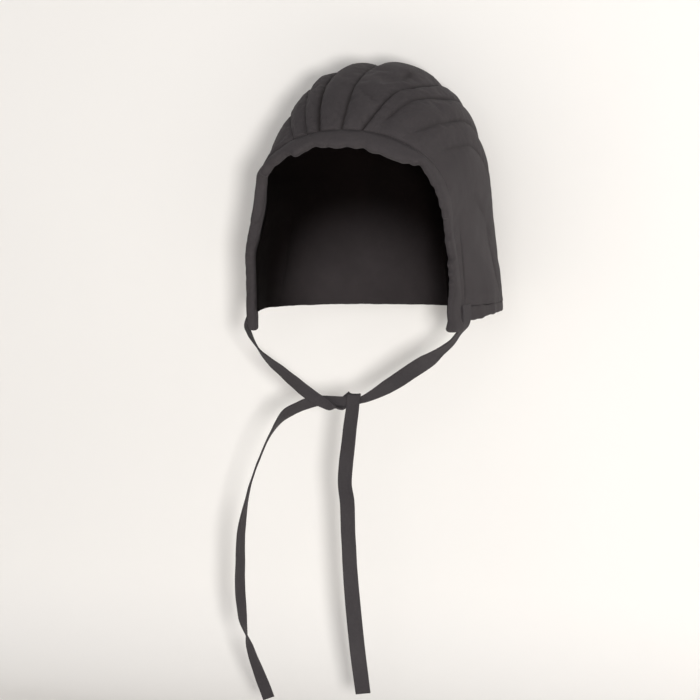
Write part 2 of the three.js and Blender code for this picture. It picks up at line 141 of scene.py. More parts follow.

# Quilt lines from the right hem to the left hem, each with its place across at four stops along the cap.
# puff is the fullness of the channel that ends at the line, lean moves that channel's crest away from the
# line (above 0) or towards it, and facets is its number of columns. pinch is how far the line draws the
# padding in, from begins on behind the band. width is the width of its groove, and crease is the groove's
# depth share, which also sets how much shade is painted into the groove. begins and width are in
# millimetres.
QUILT_STOPS = dict(brow=0.05, fore=0.20, crown=0.36, nape=1.00)
QUILT_LINES = [
    dict(brow=-1.000, fore=-1.000, crown=-1.000, nape=-1.000, puff=0.00, lean=0.0, facets=0,
         pinch=0.0, crease=0.0, width=1.0, begins=0),
    dict(brow=-0.500, fore=-0.540, crown=-0.590, nape=-0.790, puff=0.22, lean=0.0, facets=60,
         pinch=0.5, crease=0.3, width=1.6, begins=16),
    dict(brow=-0.300, fore=-0.390, crown=-0.440, nape=-0.610, puff=0.45, lean=0.1, facets=30,
         pinch=0.9, crease=0.6, width=1.3, begins=4),
    dict(brow=-0.165, fore=-0.270, crown=-0.330, nape=-0.450, puff=0.75, lean=0.1, facets=24,
         pinch=1.0, crease=0.8, width=1.2, begins=0),
    dict(brow=-0.110, fore=-0.180, crown=-0.220, nape=-0.300, puff=0.80, lean=0.2, facets=20,
         pinch=0.9, crease=0.7, width=1.3, begins=0),
    dict(brow=-0.062, fore=-0.105, crown=-0.115, nape=-0.150, puff=0.80, lean=0.2, facets=20,
         pinch=1.0, crease=2.4, width=2.3, begins=0),
    dict(brow=0.000, fore=0.000, crown=0.000, nape=0.000, puff=0.85, lean=0.1, facets=24,
         pinch=0.9, crease=1.6, width=1.5, begins=0),
    dict(brow=0.048, fore=0.120, crown=0.212, nape=0.165, puff=1.00, lean=0.0, facets=32,
         pinch=1.0, crease=1.6, width=1.0, begins=0),
    dict(brow=0.080, fore=0.180, crown=0.280, nape=0.310, puff=0.60, lean=-0.1, facets=18,
         pinch=0.9, crease=0.8, width=1.3, begins=9),
    dict(brow=0.165, fore=0.300, crown=0.365, nape=0.450, puff=0.75, lean=-0.1, facets=24,
         pinch=0.8, crease=0.5, width=2.0, begins=12),
    dict(brow=0.285, fore=0.390, crown=0.445, nape=0.610, puff=0.75, lean=-0.1, facets=26,
         pinch=0.7, crease=0.4, width=2.2, begins=16),
    dict(brow=0.500, fore=0.540, crown=0.590, nape=0.790, puff=0.45, lean=0.0, facets=32,
         pinch=0.4, crease=0.15, width=2.4, begins=24),
    dict(brow=1.000, fore=1.000, crown=1.000, nape=1.000, puff=0.22, lean=0.0, facets=60,
         pinch=0.0, crease=0.0, width=1.0, begins=0),
]

# Fullness share of all channels from the face to the nape
PUFF_ALONG = [
    dict(along=0.00, fullness=0.20),
    dict(along=0.12, fullness=0.80),
    dict(along=0.34, fullness=1.00),
    dict(along=0.70, fullness=0.75),
    dict(along=1.00, fullness=0.35),
]

# Short folds of the shell between two places (across, along), with depth and width in millimetres
FOLDS = [
    dict(start=(0.125, 0.265), end=(0.145, 0.365), depth=1.1, width=2.2),
    dict(start=(-0.155, 0.150), end=(-0.125, 0.070), depth=0.6, width=1.6),
    dict(start=(0.030, 0.190), end=(0.085, 0.165), depth=0.35, width=2.8),
    dict(start=(0.560, 0.300), end=(0.640, 0.520), depth=0.5, width=4.0),
    dict(start=(0.640, 0.135), end=(0.980, 0.120), depth=1.0, width=1.2),
    dict(start=(-0.600, 0.250), end=(-0.700, 0.450), depth=0.5, width=4.0),
]

# How far the band's edge lies behind the face opening's plain edge, right to left, in millimetres
EDGE_WAVE = [
    dict(across=-1.00, back=1.5), dict(across=-0.90, back=2.2), dict(across=-0.80, back=2.9),
    dict(across=-0.68, back=1.2), dict(across=-0.58, back=3.2), dict(across=-0.50, back=1.4),
    dict(across=-0.42, back=3.0), dict(across=-0.34, back=1.0), dict(across=-0.28, back=-2.6),
    dict(across=-0.20, back=-1.7), dict(across=-0.15, back=-2.3), dict(across=-0.11, back=-1.4),
    dict(across=-0.08, back=-0.2), dict(across=-0.03, back=0.6), dict(across=0.01, back=0.1),
    dict(across=0.06, back=-2.2), dict(across=0.14, back=-2.4), dict(across=0.20, back=-1.8),
    dict(across=0.24, back=-0.8), dict(across=0.29, back=3.2), dict(across=0.33, back=4.2),
    dict(across=0.37, back=1.2), dict(across=0.41, back=-2.4), dict(across=0.45, back=-3.6),
    dict(across=0.49, back=-0.4), dict(across=0.53, back=4.6), dict(across=0.58, back=5.2),
    dict(across=0.64, back=4.4), dict(across=0.70, back=5.3), dict(across=0.76, back=4.4),
    dict(across=0.82, back=2.4), dict(across=0.88, back=-0.4), dict(across=0.94, back=-2.4),
    dict(across=1.00, back=-3.4),
]

# How far the soft cap's sides lean towards the wearer's left at each height, in millimetres
LEAN = [
    dict(z=-212, right=-0.8, left=1.2), dict(z=-202, right=-1.4, left=1.9),
    dict(z=-188, right=-2.2, left=0.9), dict(z=-176, right=-2.0, left=1.7),
    dict(z=-165, right=-2.4, left=1.7), dict(z=-145, right=-3.6, left=1.0),
    dict(z=-125, right=-1.4, left=0.2), dict(z=-106, right=3.2, left=0.4),
    dict(z=-90, right=3.0, left=0.5), dict(z=-80, right=0.8, left=0.6),
    dict(z=-68, right=0.9, left=0.2), dict(z=-50, right=4.2, left=-0.4),
    dict(z=-32, right=4.2, left=0.8), dict(z=-20, right=3.6, left=1.6),
    dict(z=-2, right=-0.6, left=-0.6), dict(z=12, right=-1.6, left=-1.6),
]

# Height share of the hem from the right cheek (-2) over the nape (-1 to 1) to the left cheek (2)
HEM_SHARES = [
    dict(place=-2.0, share=0.72), dict(place=-1.4, share=0.72), dict(place=-1.0, share=0.78),
    dict(place=-0.4, share=0.80), dict(place=0.4, share=0.80), dict(place=1.0, share=0.78),
    dict(place=1.3, share=0.84), dict(place=1.6, share=0.98), dict(place=1.8, share=1.14),
    dict(place=2.0, share=1.22),
]

# Tape routes, as in the CAD: middle in millimetres, direction of the width, and width share
TIE_LEFT = [
    ((89.9, -45.5, -183.5), (0.25, 0.97, 0), 1),
    ((90.2, -45.4, -189.5), (0.25, 0.97, 0), 1),
    ((90, -45.3, -195), (0.2, 0.97, 0), 1),
    ((88.8, -45.2, -200.5), (0.1, 1, 0), 1),
    ((83.5, -45.4, -206.5), (0.05, 1, 0), 0.95),
    ((78.6, -48.5, -213.5), (0.02, 0.97, -0.2), 0.95),
    ((71.8, -53.5, -220.2), (0.08, 0.9, -0.4), 1),
    ((64.4, -57, -226.4), (0.3, 0.6, -0.65), 1),
    ((58, -58.6, -230.4), (0.46, 0.3, -0.78), 1),
    ((49.2, -59, -236), (0.57, 0, -0.82), 1),
    ((38.8, -59, -243), (0.57, 0, -0.82), 1),
    ((27.3, -58.7, -250), (0.52, 0.05, -0.85), 0.9),
    ((16.2, -58.3, -256.2), (0.42, 0, -0.9), 0.66),
    ((6, -58, -260.6), (0.25, 0, -0.97), 0.45),
    ((-5.8, -58, -261.9), (0, 0, -1), 0.6),
    ((-17, -58, -262), (0, 0, -1), 0.62),
    ((-29, -58, -262.3), (0, 0, -1), 0.66),
    ((-37.6, -58, -264.2), (0.12, 0.2, -1), 0.72),
    ((-46.2, -58, -267.5), (0.25, 0.6, -0.7), 0.78),
    ((-56, -58, -272.6), (0.3, 0.75, -0.5), 0.9),
    ((-63.5, -58, -279.8), (0, 0.95, -0.15), 1),
    ((-69.5, -58, -288), (-0.2, 0.95, 0), 1),
    ((-77.3, -58, -302), (-0.34, 0.94, 0), 1),
    ((-84.8, -58, -319), (-0.34, 0.94, 0), 1),
    ((-92.2, -58, -343), (-0.25, 0.95, 0), 1),
    ((-97, -58, -368), (0.1, 1, 0), 1),
    ((-98.2, -58, -394), (0.22, 0.97, 0), 1),
    ((-98.2, -58, -420), (0.28, 0.96, 0), 1),
    ((-96.3, -58, -441), (0.15, 0.98, 0), 1),
    ((-93.6, -58, -453.5), (-0.3, 0.95, 0), 1),
    ((-90.5, -58, -464.5), (-0.74, 0.67, 0), 1),
    ((-84.8, -57.5, -480.5), (-0.9, 0.44, 0), 1),
    ((-78.9, -57, -495), (-0.95, 0.3, 0), 1),
    ((-73.8, -57, -507), (-0.95, 0.3, 0), 1),
]
TIE_RIGHT = [
    ((-89.1, -45.5, -183.5), (0.25, -0.97, 0), 1),
    ((-91.2, -45.7, -189.5), (0.25, -0.97, 0), 1),
    ((-95, -46.2, -196.5), (0.2, -0.97, 0), 1),
    ((-96.4, -46.9, -204), (0.12, -0.98, 0), 1),
    ((-93.6, -48.2, -211), (0.1, -0.95, 0.15), 1),
    ((-88.2, -51, -218.2), (0.12, -0.93, 0.33), 1),
    ((-80.8, -54.4, -225.8), (0.17, -0.88, 0.44), 1),
    ((-72, -57.2, -232.2), (0.36, -0.74, 0.5), 1),
    ((-60.2, -59.3, -240.2), (0.48, -0.6, 0.62), 1),
    ((-49, -61, -248), (0.5, -0.42, 0.7), 0.96),
    ((-38.6, -61.9, -255.4), (0.56, -0.22, 0.76), 0.88),
    ((-30, -61.7, -260.8), (0.62, -0.15, 0.76), 0.8),
    ((-23, -61.3, -264.1), (0.64, -0.2, 0.7), 0.74),
    ((-18.6, -60, -266.7), (0.75, -0.45, 0.42), 0.72),
    ((-15.4, -57.8, -267.5), (0.8, -0.58, 0.05), 0.72),
    ((-12.8, -55.6, -266.4), (0.84, -0.4, -0.35), 0.74),
    ((-9.4, -54.8, -263.4), (0.88, -0.1, -0.45), 0.76),
    ((-4.6, -54.8, -260), (0.93, 0, -0.36), 0.8),
    ((-1.4, -55.6, -257.8), (0.99, 0.05, -0.15), 0.84),
    ((-0.2, -56.8, -256.7), (1, 0.05, -0.05), 0.86),
    ((0.3, -58.4, -256.4), (1, 0.06, 0), 0.88),
    ((0.7, -60.2, -257.2), (1, 0, 0), 0.9),
    ((0.6, -61, -260.5), (1, -0.1, 0), 0.92),
    ((0, -61, -267), (0.97, -0.2, 0), 0.95),
    ((-2.8, -60.5, -286), (0.97, -0.2, 0), 1),
    ((-6.2, -59.5, -313), (1, -0.1, 0), 1),
    ((-7.2, -59, -328), (0.98, -0.15, 0), 1),
    ((-5.4, -59, -343), (1, 0, 0), 1),
    ((-4.7, -58.5, -368), (1, -0.05, 0), 1),
    ((-3.2, -58, -398), (1, 0, 0), 1),
    ((-0.2, -57.5, -434), (0.96, 0.28, 0), 1),
    ((3.2, -57, -466), (0.94, 0.34, 0), 1),
    ((7.6, -57, -497.5), (1, 0.1, 0), 1),
]

BODY = "root"
scene = bpy.context.scene


def make_camera():
    """Camera at the photograph's angle: a little to the wearer's left and a little above."""
    azimuth, elevation = math.radians(20.0), math.radians(4.2)
    distance, frame_width, sensor = 2.2, 0.5738, 36.0
    target = Vector((-0.0244, 0.0, -0.2255))
    back = Vector((math.sin(azimuth) * math.cos(elevation), -math.cos(azimuth) * math.cos(elevation),
                   math.sin(elevation)))
    data = bpy.data.cameras.new("camera")
    data.sensor_width = sensor
    data.lens = sensor * distance / frame_width
    camera = bpy.data.objects.new("camera", data)
    camera.location = target + distance * back
    camera.rotation_euler = back.to_track_quat("Z", "Y").to_euler()
    scene.collection.objects.link(camera)
    scene.camera = camera


def nodes_of(name):
    """New material with its node tree and its main shader."""
    material = bpy.data.materials.new(name)
    material.use_nodes = True
    tree = material.node_tree
    return material, tree, tree.nodes["Principled BSDF"]


def add(tree, kind, **values):
    """New node with these properties."""
    node = tree.nodes.new(kind)
    for key, value in values.items():
        setattr(node, key, value)
    return node


def weave_height(tree, pitch):
    """Height of a plain weave with that thread pitch in metres, by the piece's cloth coordinates."""
    uv = add(tree, "ShaderNodeUVMap", uv_map="cloth")
    waves = []
    for direction in ("X", "Y"):
        wave = add(tree, "ShaderNodeTexWave", wave_type="BANDS", bands_direction=direction)
        wave.inputs["Scale"].default_value = math.pi / 10 / pitch
        wave.inputs["Distortion"].default_value = 0.6
        wave.inputs["Detail"].default_value = 1.0
        tree.links.new(uv.outputs["UV"], wave.inputs["Vector"])
        waves.append(wave)
    mix = add(tree, "ShaderNodeMath", operation="ADD")
    tree.links.new(waves[0].outputs["Fac"], mix.inputs[0])
    tree.links.new(waves[1].outputs["Fac"], mix.inputs[1])
    return mix.outputs[0]


def noise_node(tree, size, detail, roughness=0.55):
    """Noise with features of about that size in metres."""
    place = add(tree, "ShaderNodeTexCoord")
    texture = add(tree, "ShaderNodeTexNoise")
    texture.inputs["Scale"].default_value = 1 / size
    texture.inputs["Detail"].default_value = detail
    texture.inputs["Roughness"].default_value = roughness
    tree.links.new(place.outputs["Object"], texture.inputs["Vector"])
    return texture.outputs["Fac"]


def ramp(tree, source, stops):
    """Colour ramp through the stops, each a place and a colour."""
    node = add(tree, "ShaderNodeValToRGB")
    elements = node.color_ramp.elements
    elements[0].position, elements[0].color = stops[0][0], (*stops[0][1], 1)
    elements[1].position, elements[1].color = stops[-1][0], (*stops[-1][1], 1)
    for place, colour in stops[1:-1]:
        elements.new(place).color = (*colour, 1)
    tree.links.new(source, node.inputs["Fac"])
    return node.outputs["Color"]


def bump(tree, height, strength, distance, below=None):
    """Normal of a bump, on top of the normal below."""
    node = add(tree, "ShaderNodeBump")
    node.inputs["Strength"].default_value = strength
    node.inputs["Distance"].default_value = distance
    tree.links.new(height, node.inputs["Height"])
    if below is not None:
        tree.links.new(below, node.inputs["Normal"])
    return node.outputs["Normal"]


def mix_colours(tree, factor, first, second):
    """The first colour, and the second where the factor is 1; the second may be a plain colour."""
    node = add(tree, "ShaderNodeMix", data_type="RGBA")
    colour_a, colour_b = [socket for socket in node.inputs if socket.type == "RGBA"]
    tree.links.new(factor, node.inputs["Factor"])
    tree.links.new(first, colour_a)
    if isinstance(second, tuple):
        colour_b.default_value = (*second, 1)
    else:
        tree.links.new(second, colour_b)
    return next(socket for socket in node.outputs if socket.type == "RGBA")


def cloth_material(name, colours, pitch=0.0007, sheen=0.06):
    """Matt cotton canvas: a fine weave, slubs, soft mottling, a dusty sheen, and shade painted into the
    grooves.
    """
    dark, mid, light = colours
    material, tree, shader = nodes_of(name)
    cloudy = noise_node(tree, 0.045, 4)
    fine = noise_node(tree, 0.0022, 3, 0.7)
    blend = add(tree, "ShaderNodeMix", data_type="FLOAT")
    blend.inputs["Factor"].default_value = 0.42
    tree.links.new(cloudy, blend.inputs["A"])
    tree.links.new(fine, blend.inputs["B"])
    colour = ramp(tree, blend.outputs["Result"], [(0.34, dark), (0.5, mid), (0.66, light)])
    # Painted shade: the cloth darkens towards the crease shade colour by the mesh's groove attribute
    crease_shade = add(tree, "ShaderNodeAttribute", attribute_name="seam")
    colour = mix_colours(tree, crease_shade.outputs["Fac"], colour, PAINTED_CREASE_SHADE)
    tree.links.new(colour, shader.inputs["Base Color"])
    rough = add(tree, "ShaderNodeMapRange")
    rough.inputs["To Min"].default_value = 0.82
    rough.inputs["To Max"].default_value = 0.97
    tree.links.new(fine, rough.inputs["Value"])
    tree.links.new(rough.outputs["Result"], shader.inputs["Roughness"])
    shader.inputs["Specular IOR Level"].default_value = 0.15
    shader.inputs["Sheen Weight"].default_value = sheen
    shader.inputs["Sheen Roughness"].default_value = 0.5
    shader.inputs["Sheen Tint"].default_value = (0.62, 0.58, 0.6, 1)
    weave = bump(tree, weave_height(tree, pitch), 0.3, 0.00012)
    slubs = bump(tree, noise_node(tree, 0.0016, 3, 0.7), 0.3, 0.0003, weave)
    creases = bump(tree, noise_node(tree, 0.014, 5, 0.6), 0.22, 0.0012, slubs)
    tree.links.new(creases, shader.inputs["Normal"])
    return material, tree, shader, colour


def lining_material():
    """The same cloth inside, with painted shade that makes it nearly black in the crown, and painted light
    in a soft paler patch at the nape.
    """
    material, tree, shader, colour = cloth_material("dark_lining", LINING_IN_PAINTED_SHADE, sheen=0.0)
    shader.inputs["Specular IOR Level"].default_value = 0.04
    # Painted light: a soft sphere low at the back blends the painted shade into the paler lining colours
    place = add(tree, "ShaderNodeTexCoord")
    towards = add(tree, "ShaderNodeMapping", vector_type="TEXTURE")
    towards.inputs["Location"].default_value = (-0.044, 0.080, -0.188)
    towards.inputs["Scale"].default_value = (0.100, 0.110, 0.094)
    sphere = add(tree, "ShaderNodeTexGradient", gradient_type="SPHERICAL")
    tree.links.new(place.outputs["Object"], towards.inputs["Vector"])
    tree.links.new(towards.outputs["Vector"], sphere.inputs["Vector"])
    share = add(tree, "ShaderNodeMapRange", interpolation_type="SMOOTHSTEP")
    share.inputs["From Min"].default_value = 0.02
    share.inputs["From Max"].default_value = 0.72
    tree.links.new(sphere.outputs["Fac"], share.inputs["Value"])
    painted_light_tone = ramp(tree, noise_node(tree, 0.03, 4), [(0.3, LINING_IN_PAINTED_LIGHT[0]), (0.7, LINING_IN_PAINTED_LIGHT[1])])
    mixed = mix_colours(tree, share.outputs["Result"], colour, painted_light_tone)
    tree.links.new(mixed, shader.inputs["Base Color"])
    return material


def paper_material():
    """Pale studio paper, clear from behind, so that a view from there shows the cap."""
    material, tree, shader = nodes_of("pale_paper")
    tone = ramp(tree, noise_node(tree, 0.25, 5), [(0.3, [c * 0.985 for c in PAPER]), (0.7, PAPER)])
    tree.links.new(tone, shader.inputs["Base Color"])
    shader.inputs["Roughness"].default_value = 0.9
    shader.inputs["Specular IOR Level"].default_value = 0.1
    side = add(tree, "ShaderNodeNewGeometry")
    clear = add(tree, "ShaderNodeBsdfTransparent")
    either = add(tree, "ShaderNodeMixShader")
    tree.links.new(side.outputs["Backfacing"], either.inputs["Fac"])
    tree.links.new(shader.outputs["BSDF"], either.inputs[1])
    tree.links.new(clear.outputs["BSDF"], either.inputs[2])
    tree.links.new(either.outputs["Shader"], tree.nodes["Material Output"].inputs["Surface"])
    return material


def column_at(table, column, x, key="along"):
    """Smooth value of one column of a table at x, through every row."""
    keys = np.array([row[key] for row in table], float)
    values = np.array([row[column] for row in table], float)
    last = len(keys) - 1
    before = np.maximum(np.arange(last + 1) - 1, 0)
    after = np.minimum(np.arange(last + 1) + 1, last)
    slopes = (values[after] - values[before]) / (keys[after] - keys[before])
    i = np.clip(np.searchsorted(keys, x, side="left") - 1, 0, last - 1)
    span = keys[i + 1] - keys[i]
    t = (x - keys[i]) / span
    a, b = values[i], values[i + 1]
    da, db = slopes[i] * span, slopes[i + 1] * span
    return a + t * (da + t * (3 * (b - a) - 2 * da - db + t * (2 * (a - b) + da + db)))


def reach(share):
    """y of a share of the front reach (below 0) or the back reach."""
    return share * np.where(share < 0, FRONT_REACH, BACK_REACH)


def smoothstep(x, low=0.0, high=1.0):
    t = np.clip((x - low) / (high - low), 0, 1)
    return t * t * (3 - 2 * t)


def head_point(across, along):
    """Points of the head room's surface.

    across runs from -1 (right hem) to 1 (left hem), and along from 0 (face) to 1 (nape).
    """
    across, along = np.broadcast_arrays(np.asarray(across, float), np.asarray(along, float))
    half = np.abs(across)
    turn = np.minimum(column_at(CROWNS, "turn", along), FULLEST_TURN)
    side_x = column_at(WALLS, "side", along) * HEAD_WIDTH / 2
    side_y = reach(column_at(WALLS, "side_y", along))
    side_z = column_at(WALLS, "side_z", along) * SKIRT
    angle = np.clip(half / turn, 0, 1) * math.pi / 2
    outward = np.sin(angle) ** (2 / SQUARENESS)
    inward = np.maximum(np.cos(angle), 0) ** (2 / SQUARENESS)
    y_top = side_y + (reach(column_at(CROWNS, "top_y", along)) - side_y) * inward ** FOREHEAD_TURN
    z_top = side_z + (column_at(CROWNS, "top_z", along) * SKIRT - side_z) * inward
    down = np.clip((half - turn) / (1 - turn), 0, None)
    x_wall = side_x + (column_at(WALLS, "hem", along) * HEAD_WIDTH / 2 - side_x) * smoothstep(down)
    y_wall = side_y + (reach(column_at(WALLS, "hem_y", along)) - side_y) * down
    z_wall = side_z - (SKIRT + side_z) * down
    top = half <= turn
    x = np.where(top, side_x * outward, x_wall) * np.sign(across)
    return np.stack([x, np.where(top, y_top, y_wall), np.where(top, z_top, z_wall)], axis=-1)


def unit(v):
    return v / np.maximum(np.linalg.norm(v, axis=-1, keepdims=True), 1e-12)


def head_normal(across, along):
    step = 0.004
    a = np.clip(along, step, 1 - step)
    tangent_across = head_point(across + step, a) - head_point(across - step, a)
    tangent_along = head_point(across, a + step) - head_point(across, a - step)
    return unit(np.cross(tangent_across, tangent_along))


def offset_point(across, along, height):
    return head_point(across, along) + head_normal(across, along) * np.asarray(height)[..., None]


def along_at_distance(across, distance):
    """The along value at a distance behind the plain edge of the face opening."""
    across, distance = np.broadcast_arrays(np.asarray(across, float), np.asarray(distance, float))
    along = np.zeros(across.shape)
    steps, gauge = 10, 0.002
    for _ in range(steps):
        ahead = head_point(across, along + gauge) - head_point(across, along)
        speed = np.linalg.norm(ahead, axis=-1) / gauge
        along = along + distance / steps / speed
    return along


def quilt_share(line, along):
    """Place across of a quilt line at the along values."""
    stops = [dict(along=place, share=line[stop]) for stop, place in QUILT_STOPS.items()]
    return column_at(stops, "share", np.maximum(along, QUILT_STOPS["brow"]))


def hem_place(side, along, start):
    """Place in HEM_SHARES of a point on that side (-1 or 1), where the hem begins at start."""
    return side * (1 + (1 - along) / (1 - start))


def hem_share(place):
    """Height share of the hem at a place in HEM_SHARES."""
    return column_at(HEM_SHARES, "share", np.clip(place, -2, 2), "place")


def leaned(points):
    """The points moved as the soft cap leans, wholly from full_at on from its middle."""
    full_at = 0.06
    moved = points.copy()
    z = np.clip(points[..., 2] / MM, LEAN[0]["z"], LEAN[-1]["z"])
    right = column_at(LEAN, "right", z, "z") * smoothstep(-points[..., 0], 0, full_at)
    left = column_at(LEAN, "left", z, "z") * smoothstep(points[..., 0], 0, full_at)
    moved[..., 0] += (right + left) * MM
    return moved


def noise_at(points, size, seed):
    """Signed noise with features of about that size at an array of points."""
    shift = Vector((seed * 1.7, seed * -2.3, seed * 3.1))
    flat = points.reshape(-1, 3) / size
    found = np.fromiter((noise.noise(Vector(p) + shift) for p in flat), float, len(flat))
    return found.reshape(points.shape[:-1])


def bumps(points, high, size, seed):
    """Unevenness up to about that height, with features of about that size in metres."""
    return high * noise_at(points, size, seed)


def piece_from_grid(name, points, material, slot, closed=False, uv=None, crease_shade=None):
    """Smooth mesh through a grid of points; closed makes it a tube with both ends filled.

    Each point's darkening share, if given, is the shade painted into the groove or fold it lies in. What is
    no piece of the part has the slot None.
    """
    rows, cols = points.shape[:2]
    index = np.arange(rows * cols).reshape(rows, cols)
    right = np.roll(index, -1, axis=1) if closed else index[:, 1:]
    left = index if closed else index[:, :-1]
    quads = np.stack([left[:-1], right[:-1], right[1:], left[1:]], axis=-1).reshape(-1, 4)
    faces = quads.tolist()
    if closed:
        faces.append(index[0, ::-1].tolist())
        faces.append(index[-1].tolist())
    mesh = bpy.data.meshes.new(name)
    mesh.from_pydata(points.reshape(-1, 3).tolist(), [], faces)
    if uv is not None:
        layer = mesh.uv_layers.new(name="cloth")
        loops = np.zeros(len(mesh.loops), np.int64)
        mesh.loops.foreach_get("vertex_index", loops)
        layer.data.foreach_set("uv", uv.reshape(-1, 2)[loops].astype(np.float32).ravel())
    if crease_shade is not None:
        # Painted shade of the grooves and folds, kept in the attribute called seam
        layer = mesh.attributes.new("seam", "FLOAT", "POINT")
        layer.data.foreach_set("value", crease_shade.astype(np.float32).ravel())
    mesh.polygons.foreach_set("use_smooth", [True] * len(mesh.polygons))
    if material is not None:
        mesh.materials.append(material)
    obj = bpy.data.objects.new(name, mesh)
    scene.collection.objects.link(obj)
    if slot is not None:
        clean_mesh(mesh, closed)
    mesh.update()
    return obj


def clean_mesh(mesh, closed):
    """Join points that coincide, drop faces without area and turn a closed skin's faces outwards."""
    body = bmesh.new()
    body.from_mesh(mesh)
    bmesh.ops.remove_doubles(body, verts=body.verts, dist=1e-6)
    bmesh.ops.dissolve_degenerate(body, dist=1e-7, edges=body.edges)
    if closed:
        bmesh.ops.recalc_face_normals(body, faces=body.faces)
    body.to_mesh(mesh)
    body.free()


def cloth_uv(points):
    """Cloth coordinates in metres: distance across from the middle column, and distance along."""
    step_across = np.linalg.norm(np.diff(points, axis=1), axis=-1)
    u = np.concatenate([np.zeros((points.shape[0], 1)), np.cumsum(step_across, axis=1)], axis=1)
    u = u - u[:, [points.shape[1] // 2]]
    step_along = np.linalg.norm(np.diff(points, axis=0), axis=-1)
    v = np.concatenate([np.zeros((1, points.shape[1])), np.cumsum(step_along, axis=0)], axis=0)
    return np.stack([u, v], axis=-1)


def shell_columns():
    """Channel and share of the way across it for each column of the shell."""
    found = [(1, 0.0)]
    for n in range(1, len(QUILT_LINES)):
        facets = QUILT_LINES[n]["facets"]
        found += [(n, f / facets) for f in range(1, facets + 1)]
    return np.array([c[0] for c in found]), np.array([c[1] for c in found])


def of_lines(column):
    """One column of QUILT_LINES."""
    return np.array([line[column] for line in QUILT_LINES], float)


def fold_height(base, fold):
    """Height of a short fold: a groove that fades out at both ends."""
    t = np.linspace(0, 1, 40)
    (a0, b0), (a1, b1) = fold["start"], fold["end"]
    path = head_point(a0 + (a1 - a0) * t, b0 + (b1 - b0) * t)
    distance = np.full(base.shape[:2], np.inf)
    nearest = np.zeros(base.shape[:2])
    for place, at in zip(path, t):
        d = np.linalg.norm(base - place, axis=-1)
        closer = d < distance
        distance[closer] = d[closer]
        nearest[closer] = at
    fade = np.sin(math.pi * np.clip(nearest, 0.02, 0.98)) ** 0.6
    return -fold["depth"] * MM * fade * np.exp(-(distance / (fold["width"] * MM)) ** 2)


def halved_places(count, kept):
    """The kept point before each of a row's points, every other one kept, and the share of the way on."""
    place = np.interp(np.arange(count), np.arange(0, count, 2), np.arange(kept))
    before = np.minimum(place.astype(int), kept - 2)
    return before, place - before


def inflated(points, held):
    """How far each point of a grid of cloth moves when wadding presses it out between the held points.

    The cloth is cut a little larger than the space between its seams, so that it puckers along them. Every
    other point is simulated, and the movement is read back between them.
    """
    coarse = points[::2, ::2]
    sheet = piece_from_grid("inflated_sheet", coarse, None, None)
    pins = sheet.vertex_groups.new(name="held")
    pins.add(np.flatnonzero(held[::2, ::2].ravel()).tolist(), 1.0, "REPLACE")
    cloth = sheet.modifiers.new("cloth", "CLOTH")
    settings = cloth.settings
    settings.quality = 6
    settings.mass = 0.2
    settings.tension_stiffness = settings.compression_stiffness = 12
    settings.shear_stiffness = 4
    settings.bending_stiffness = 0.2
    settings.shrink_min = -0.014
    settings.use_pressure = True
    settings.uniform_pressure_force = 2.5
    settings.vertex_group_mass = "held"
    settings.effector_weights.gravity = 0
    cloth.collision_settings.use_collision = False
    frames = 20
    for number in range(1, frames + 1):
        scene.frame_set(number)
    shaped = sheet.evaluated_get(bpy.context.evaluated_depsgraph_get()).to_mesh()
    found = np.zeros(len(shaped.vertices) * 3, np.float32)
    shaped.vertices.foreach_get("co", found)
    moved = found.reshape(coarse.shape) - coarse
    mesh = sheet.data
    bpy.data.objects.remove(sheet)
    bpy.data.meshes.remove(mesh)
    scene.frame_set(1)
    length = np.linalg.norm(moved, axis=-1, keepdims=True)
    moved = moved * np.minimum(1, MOST_INFLATED / np.maximum(length, 1e-9))

    i, u = halved_places(points.shape[0], coarse.shape[0])
    j, v = halved_places(points.shape[1], coarse.shape[1])
    u = u[:, None, None]
    v = v[None, :, None]
    first = moved[i][:, j] * (1 - v) + moved[i][:, j + 1] * v
    second = moved[i + 1][:, j] * (1 - v) + moved[i + 1][:, j + 1] * v
    return first * (1 - u) + second * u


def shell_places(channel, share):
    """Places across and along of the shell's points, in rows from hem to hem behind the band."""
    columns = np.arange(len(channel))

    def across_at(along):
        lines = np.stack([quilt_share(line, along) for line in QUILT_LINES], axis=-1)
        start, end = lines[..., columns, channel - 1], lines[..., columns, channel]
        return start + (end - start) * share

    seam_along = np.full(len(channel), 0.06)
    for _ in range(4):
        seam_across = across_at(seam_along)
        lapped = MERGED_LAP * smoothstep(seam_across, *MERGING)
        seam_along = along_at_distance(seam_across, BAND_WIDTH - CLEARANCE - lapped)
    along = seam_along + (1 - seam_along) * np.linspace(0, 1, SHELL_ROWS)[:, None]
    across = across_at(along)
    across[0] = seam_across
    return across, along


def pinch_shares(from_band):
    """How far each quilt line draws the padding in, at points that far behind the band."""
    fade_before, fade_after = 0.006, 0.012
    shares = []
    for line in QUILT_LINES:
        begins = line["begins"] * MM
        painted_light_tone = smoothstep(from_band, begins - fade_before, begins + fade_after)
        shares.append(line["pinch"] * (painted_light_tone if begins > 0 else np.ones(from_band.shape)))
    return np.stack(shares, axis=-1)


def channel_fullness(channel, share):
    """Fullness of each column, which runs smoothly from one channel to the next."""
    puff = of_lines("puff")
    at_line = (puff + np.append(puff[1:], puff[-1])) / 2
    before, after = at_line[channel - 1], at_line[channel]
    return np.where(share < 0.5, before + (puff[channel] - before) * smoothstep(share * 2),
                    after + (puff[channel] - after) * smoothstep(2 - share * 2))


def channel_relief(channel, share, held):
    """Share of the fullness left where the quilt lines draw the padding in by the share held."""
    place = share + of_lines("lean")[channel] * share * (1 - share) * 2
    crest = (1 - np.abs(2 * place - 1) ** 2.3) ** 0.62
    return 1 - held * (1 - crest)


